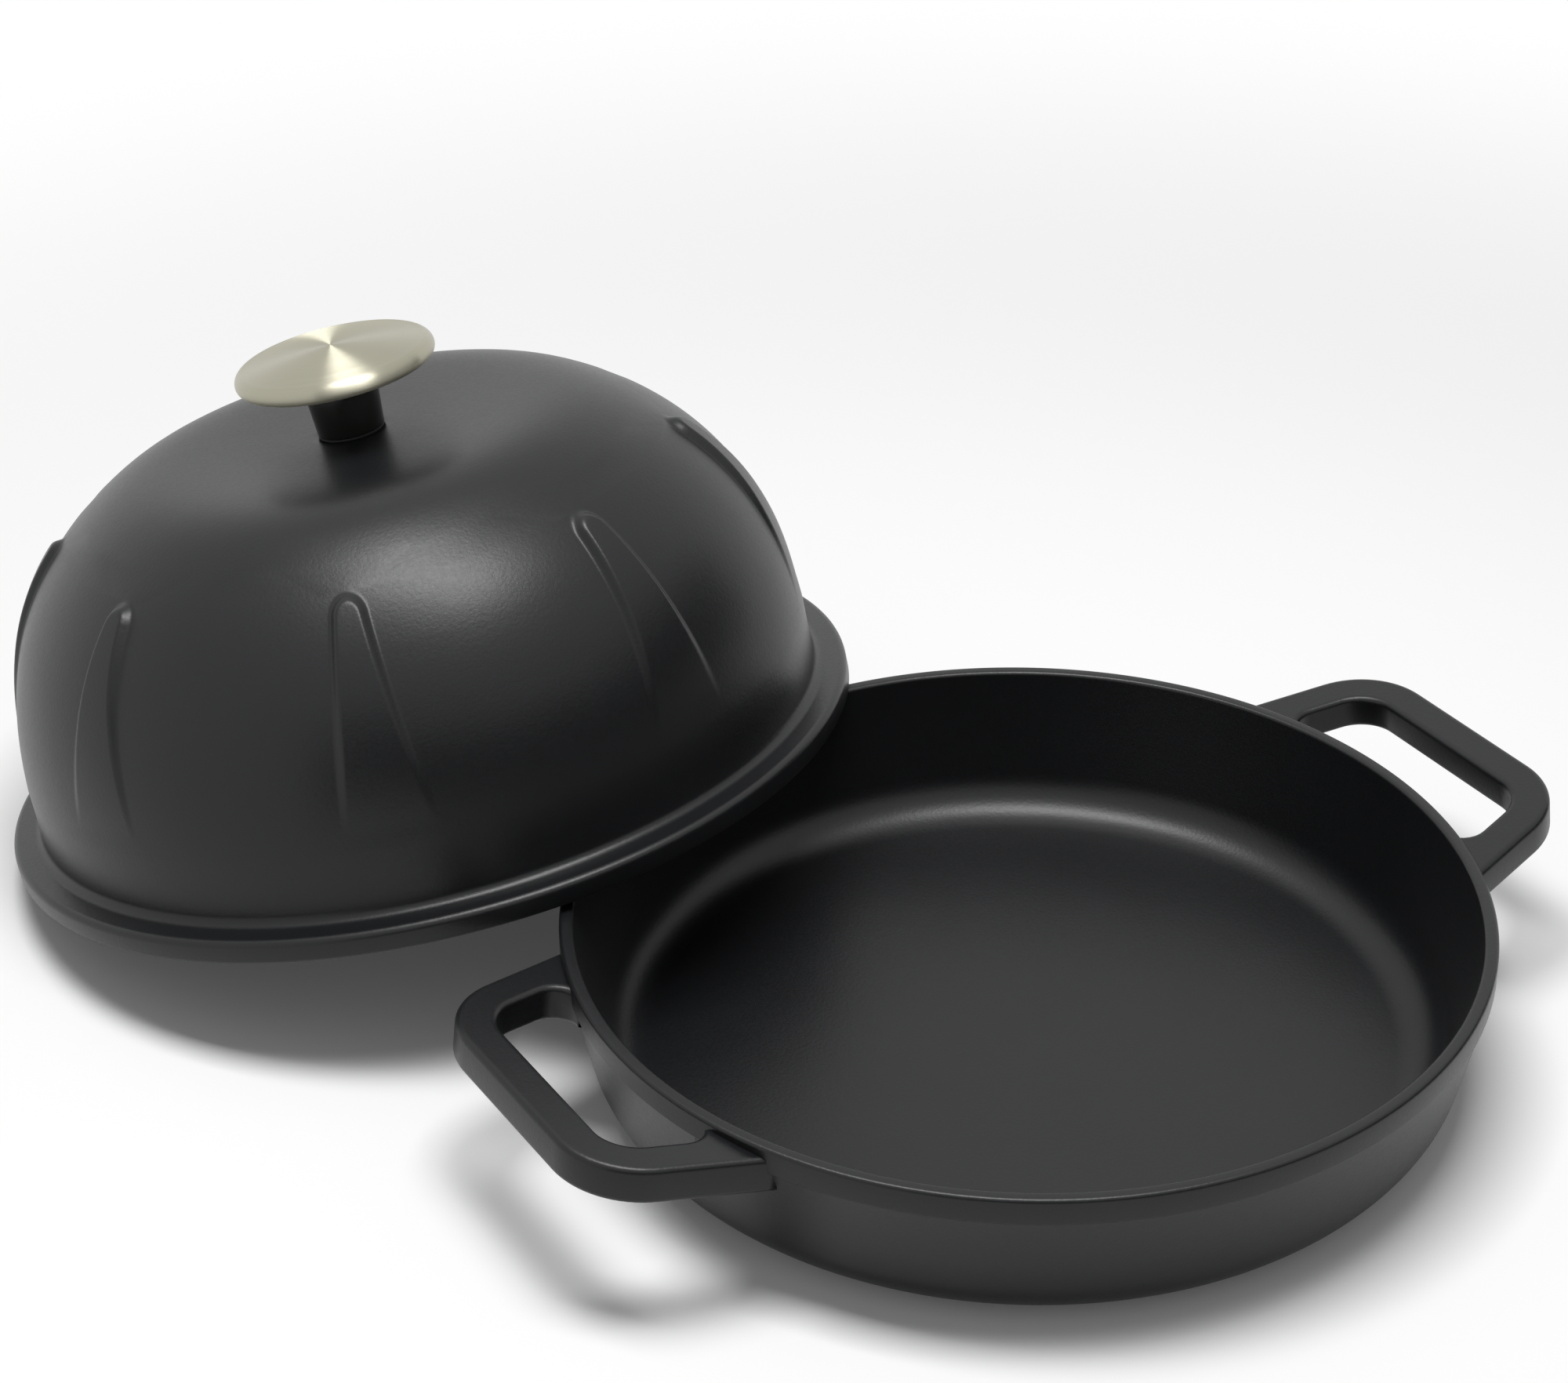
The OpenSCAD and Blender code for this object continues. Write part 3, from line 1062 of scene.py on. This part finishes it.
    def build(self) -> bpy.types.Object:
        """Makes the lid, in place of its node.

        Returns:
            The piece.
        """
        mesh = spin_profile(self.profile(), self.flutes * self.columns, closed=True)
        bmesh.ops.rotate(
            mesh,
            verts=mesh.verts,
            cent=(0, 0, 0),
            matrix=Matrix.Rotation(math.radians(self.flute_turn), 3, "Z"),
        )
        self.raise_flutes(mesh)
        piece = finish_object(mesh, "lid_casting", self.finish.build(), self.place)
        stand_for(piece, "dome_lid", Body.LID)
        return piece


@dataclass
class Knob:
    """The knob: a turned steel disc on a tapered stem, a gasket, and its screw inside the lid."""

    place: Matrix
    crown_h: float = 111.5
    gasket_t: float = 0.8
    gasket_r: float = 10.4
    gasket_edge: float = 0.2
    stem_h: float = 18.8
    stem_top_r: float = 11.8
    stem_foot_r: float = 10.5
    stem_edge: float = 0.3
    disc_r: float = 31.4
    disc_h: float = 8.7
    disc_edge_h: float = 2.5
    disc_edge_r: float = 3.4
    disc_rows: int = 22
    hole_r: float = 3.3
    thread_r: float = 3.05
    thread_depth: float = 6.2
    disc_steps: int = 192
    stem_steps: int = 96
    edge_steps: int = 3
    steel: TurnedSteelFinish = TurnedSteelFinish()
    resin: MouldedFinish = BLACK_RESIN
    fibre: MouldedFinish = PRESSED_FIBRE
    plated: MouldedFinish = ZINC_PLATE

    def disc_profile(self) -> list[Point]:
        """Draws the disc's profile, with its threaded hole and a slightly crowned top.

        Returns:
            Distances from the axis and heights.
        """
        shoulder_r = self.disc_r - self.disc_edge_r
        shoulder_z = self.disc_edge_h + self.disc_edge_r
        rise = self.disc_h - shoulder_z
        crown_r = (shoulder_r**2 + rise**2) / (2 * rise)
        low_edge = (self.disc_r - self.disc_edge_h, self.disc_edge_h)
        crown = []
        for i in range(1, self.disc_rows):
            x = shoulder_r * (1 - i / self.disc_rows)
            crown.append((x, self.disc_h - crown_r + math.sqrt(crown_r**2 - x * x)))
        return [
            (0.0, self.thread_depth),
            (self.thread_r, self.thread_depth),
            (self.thread_r, 0.0),
            (self.disc_r * 0.5, 0.0),
            *arc(low_edge, self.disc_edge_h, -90, 0, steps=8),
            *arc((shoulder_r, self.disc_edge_h), self.disc_edge_r, 0, 90, steps=12)[1:],
            *crown,
            (0.0, self.disc_h),
        ]

    def map_turning(self, mesh: bmesh.types.BMesh) -> None:
        """Gives the disc a map of its own: its width is the turn, its height the distance out.

        Args:
            mesh: The disc, in its own frame.
        """
        layer = mesh.loops.layers.uv.new("turned")
        weld = WELD_MM * MM
        for face in mesh.faces:
            middle = face.calc_center_median()
            mean = math.atan2(middle.y, middle.x)
            for loop in face.loops:
                radius = math.hypot(loop.vert.co.x, loop.vert.co.y)
                angle = mean
                if radius > weld:
                    angle = math.atan2(loop.vert.co.y, loop.vert.co.x)
                # A face across the seam keeps its points on one side of it
                angle += 2 * math.pi * round((mean - angle) / (2 * math.pi))
                loop[layer].uv = (angle / (2 * math.pi) + 0.5, radius / (self.disc_r * MM))

    def bored(self, low_r: float, high_r: float, height: float, edge: float) -> bmesh.types.BMesh:
        """Makes a round piece with a bore for the screw and rounded edges.

        Args:
            low_r: Its radius at the foot.
            high_r: Its radius at the top.
            height: Its height.
            edge: The rounding of its edges.

        Returns:
            The mesh, standing on its own frame's origin.
        """
        profile = [
            (self.hole_r, 0.0),
            *arc((low_r - edge, edge), edge, -90, 0, self.edge_steps),
            *arc((high_r - edge, height - edge), edge, 0, 90, self.edge_steps),
            (self.hole_r, height),
        ]
        return spin_profile(profile, self.stem_steps, closed=True)

    def build(self) -> list[bpy.types.Object]:
        """Makes the disc, the stem and the gasket, in place of their nodes.

        Returns:
            The pieces.
        """
        stem_z = self.crown_h + self.gasket_t
        disc_z = stem_z + self.stem_h
        disc = spin_profile(self.disc_profile(), self.disc_steps)
        self.map_turning(disc)
        stem = self.bored(self.stem_foot_r, self.stem_top_r, self.stem_h, self.stem_edge)
        gasket = self.bored(self.gasket_r, self.gasket_r, self.gasket_t, self.gasket_edge)
        pieces = []
        for mesh, name, finish, height, node, slot in (
            (disc, "knob_disc", self.steel, disc_z, "knob_cap", Slot.KNOB_STEEL),
            (stem, "knob_neck", self.resin, stem_z, "knob_stem", Slot.STEM_BLACK),
            (gasket, "knob_pad", self.fibre, self.crown_h, "knob_gasket", Slot.GASKET_FIBRE),
        ):
            lift = self.place @ Matrix.Translation((0, 0, height * MM))
            piece = finish_object(mesh, name, finish.build(), lift)
            stand_for(piece, node, Body.LID)
            pieces.append(piece)
        return pieces

    def dress_hardware(self, nodes: dict[str, bpy.types.Object]) -> list[bpy.types.Object]:
        """Gives the screw and its washers their finish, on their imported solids.

        Args:
            nodes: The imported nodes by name.

        Returns:
            The nodes that were dressed.
        """
        material = self.plated.build()
        hardware = [nodes[name] for name in ("knob_screw", "flat_washer", "lock_washer")]
        for node in hardware:
            for slot in node.material_slots:
                slot.material = material
        return hardware


@dataclass
class Studio:
    """A white table and surroundings, a large soft lamp overhead, a black cloth, and the camera.

    The cloth hangs round the camera's side, out of its view, and keeps the surroundings out of the
    front of the dark castings, as a photographer's does. Only reflections see it.
    """

    camera_place: tuple[float, float, float] = (-0.5011, -0.6940, 0.6364)
    heading: float = 31.22
    tilt: float = 31.02
    roll: float = -0.991
    lens: float = 82.02
    sensor: float = 36.0
    key_place: tuple[float, float, float] = (-0.12, 0.03, 1.45)
    key_aim: tuple[float, float, float] = (-0.05, 0.08, 0.0)
    key_size: tuple[float, float] = (0.92, 0.44)
    key_power: float = 19.0
    fill: float = 0.25
    floor_colour: str = "#fafafa"
    floor_radius: float = 6.0
    floor_steps: int = 96
    floor_share: float = 0.04
    floor_near: float = 0.4
    floor_far: float = 0.9
    cloth_shade: float = 0.004
    cloth_radius: float = 1.6
    cloth_height: float = 0.75
    cloth_from: float = -150.0
    cloth_to: float = 2.0
    cloth_steps: int = 48

    def add_camera(self) -> None:
        """Adds the camera."""
        heading = math.radians(self.heading)
        tilt = math.radians(self.tilt)
        out = math.cos(tilt)
        forward = Vector((math.sin(heading) * out, math.cos(heading) * out, -math.sin(tilt)))
        level = forward.cross(Vector((0, 0, 1))).normalized()
        upright = level.cross(forward)
        turn = math.radians(self.roll)
        right = level * math.cos(turn) + upright * math.sin(turn)
        up = right.cross(forward)
        frame = Matrix((right, up, -forward)).transposed().to_4x4()
        data = bpy.data.cameras.new("camera")
        data.lens = self.lens
        data.sensor_width = self.sensor
        data.sensor_fit = "HORIZONTAL"
        camera = bpy.data.objects.new("camera", data)
        camera.matrix_world = Matrix.Translation(self.camera_place) @ frame
        bpy.context.scene.collection.objects.link(camera)
        bpy.context.scene.camera = camera

    def add_key(self) -> None:
        """Adds the soft lamp overhead."""
        data = bpy.data.lights.new("key", "AREA")
        data.shape = "RECTANGLE"
        data.size, data.size_y = self.key_size
        data.energy = self.key_power
        lamp = bpy.data.objects.new("key", data)
        place = Vector(self.key_place)
        lamp.rotation_euler = (Vector(self.key_aim) - place).to_track_quat("-Z", "Y").to_euler()
        lamp.location = place
        bpy.context.scene.collection.objects.link(lamp)

    def seen(self, tree: bpy.types.NodeTree) -> bpy.types.NodeSocket:
        """Tells a camera, glossy or transmission ray from the light that falls on surfaces.

        Args:
            tree: The node tree.

        Returns:
            The socket, 1 for such a ray and 0 for others.
        """
        path = add_node(tree, "ShaderNodeLightPath")
        first = add_node(
            tree,
            "ShaderNodeMath",
            {"operation": "MAXIMUM"},
            in0=path.outputs["Is Camera Ray"],
            in1=path.outputs["Is Glossy Ray"],
        )
        both = add_node(
            tree,
            "ShaderNodeMath",
            {"operation": "MAXIMUM"},
            in0=first.outputs[0],
            in1=path.outputs["Is Transmission Ray"],
        )
        return both.outputs[0]

    def add_world(self) -> None:
        """Makes the surroundings white to the eye and in reflections, and a plain fill elsewhere."""
        world = bpy.data.worlds.new("studio")
        bpy.context.scene.world = world
        world.use_nodes = True
        tree = world.node_tree
        tree.nodes.clear()
        strength = add_node(
            tree,
            "ShaderNodeMapRange",
            {"To Min": self.fill, "To Max": 1.0},
            Value=self.seen(tree),
        )
        light = add_node(
            tree,
            "ShaderNodeBackground",
            {"Color": (1, 1, 1, 1)},
            Strength=strength.outputs[0],
        )
        add_node(tree, "ShaderNodeOutputWorld", Surface=light.outputs[0])

    def add_floor(self) -> None:
        """Adds the white table, which keeps the object's shadow and turns plain white further out."""
        mesh = bmesh.new()
        bmesh.ops.create_circle(
            mesh,
            cap_ends=True,
            segments=self.floor_steps,
            radius=self.floor_radius,
        )
        material, tree, output = new_material("matt white board")
        board = add_node(
            tree,
            "ShaderNodeBsdfPrincipled",
            {"Base Color": linear(self.floor_colour), "Roughness": 0.9, "Specular IOR Level": 0.0},
        )
        white = add_node(tree, "ShaderNodeEmission", {"Color": (1, 1, 1, 1), "Strength": 1.0})
        place = add_node(tree, "ShaderNodeTexCoord").outputs["Object"]
        distance = add_node(tree, "ShaderNodeVectorMath", {"operation": "LENGTH"}, in0=place)
        far = add_node(
            tree,
            "ShaderNodeMapRange",
            {
                "interpolation_type": "SMOOTHSTEP",
                "From Min": self.floor_near,
                "From Max": self.floor_far,
                "To Min": self.floor_share,
            },
            Value=distance.outputs["Value"],
        )
        share = add_node(
            tree,
            "ShaderNodeMath",
            {"operation": "MULTIPLY"},
            in0=far.outputs[0],
            in1=self.seen(tree),
        )
        mixed = add_node(
            tree,
            "ShaderNodeMixShader",
            in0=share.outputs[0],
            in1=board.outputs[0],
            in2=white.outputs[0],
        )
        tree.links.new(mixed.outputs[0], output.inputs["Surface"])
        floor = finish_object(mesh, "table", material, Matrix.Identity(4))

    def add_cloth(self) -> None:
        """Hangs the black cloth on the camera's side."""
        mesh = bmesh.new()
        low = mesh.verts.new((self.cloth_radius, 0, 0))
        high = mesh.verts.new((self.cloth_radius, 0, self.cloth_height))
        edge = mesh.edges.new((low, high))
        turn = Matrix.Rotation(math.radians(self.cloth_from), 3, "Z")
        bmesh.ops.rotate(mesh, verts=[low, high], cent=(0, 0, 0), matrix=turn)
        bmesh.ops.spin(
            mesh,
            geom=[low, high, edge],
            cent=(0, 0, 0),
            axis=(0, 0, 1),
            angle=math.radians(self.cloth_to - self.cloth_from),
            steps=self.cloth_steps,
        )
        material, tree, output = new_material("black velvet")
        shade = (self.cloth_shade, self.cloth_shade, self.cloth_shade, 1)
        shader = add_node(
            tree,
            "ShaderNodeBsdfPrincipled",
            {"Base Color": shade, "Roughness": 1.0, "Specular IOR Level": 0.0},
        )
        tree.links.new(shader.outputs[0], output.inputs["Surface"])
        cloth = finish_object(mesh, "cloth", material, Matrix.Identity(4))
        cloth.visible_camera = False
        cloth.visible_diffuse = False
        cloth.visible_shadow = False

    def build(self) -> None:
        """Sets up the whole studio."""
        bpy.context.scene.view_settings.view_transform = "Standard"
        self.add_camera()
        self.add_key()
        self.add_world()
        self.add_floor()
        self.add_cloth()
        LOG.info("studio is ready")


def main() -> None:
    """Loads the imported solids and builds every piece."""
    logging.basicConfig(level=logging.INFO, format="%(name)s: %(message)s")
    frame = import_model()
    Studio().build()
    place = LidPlace().matrix()
    knob = Knob(place)
    pieces = [BasePan().build(), DomeLid(place).build(), *knob.build()]
    pieces += knob.dress_hardware(frame["nodes"])
    for piece in pieces:
        LOG.info("%s: %d faces", piece.name, len(piece.data.polygons))


if __name__ == "__main__":
    main()
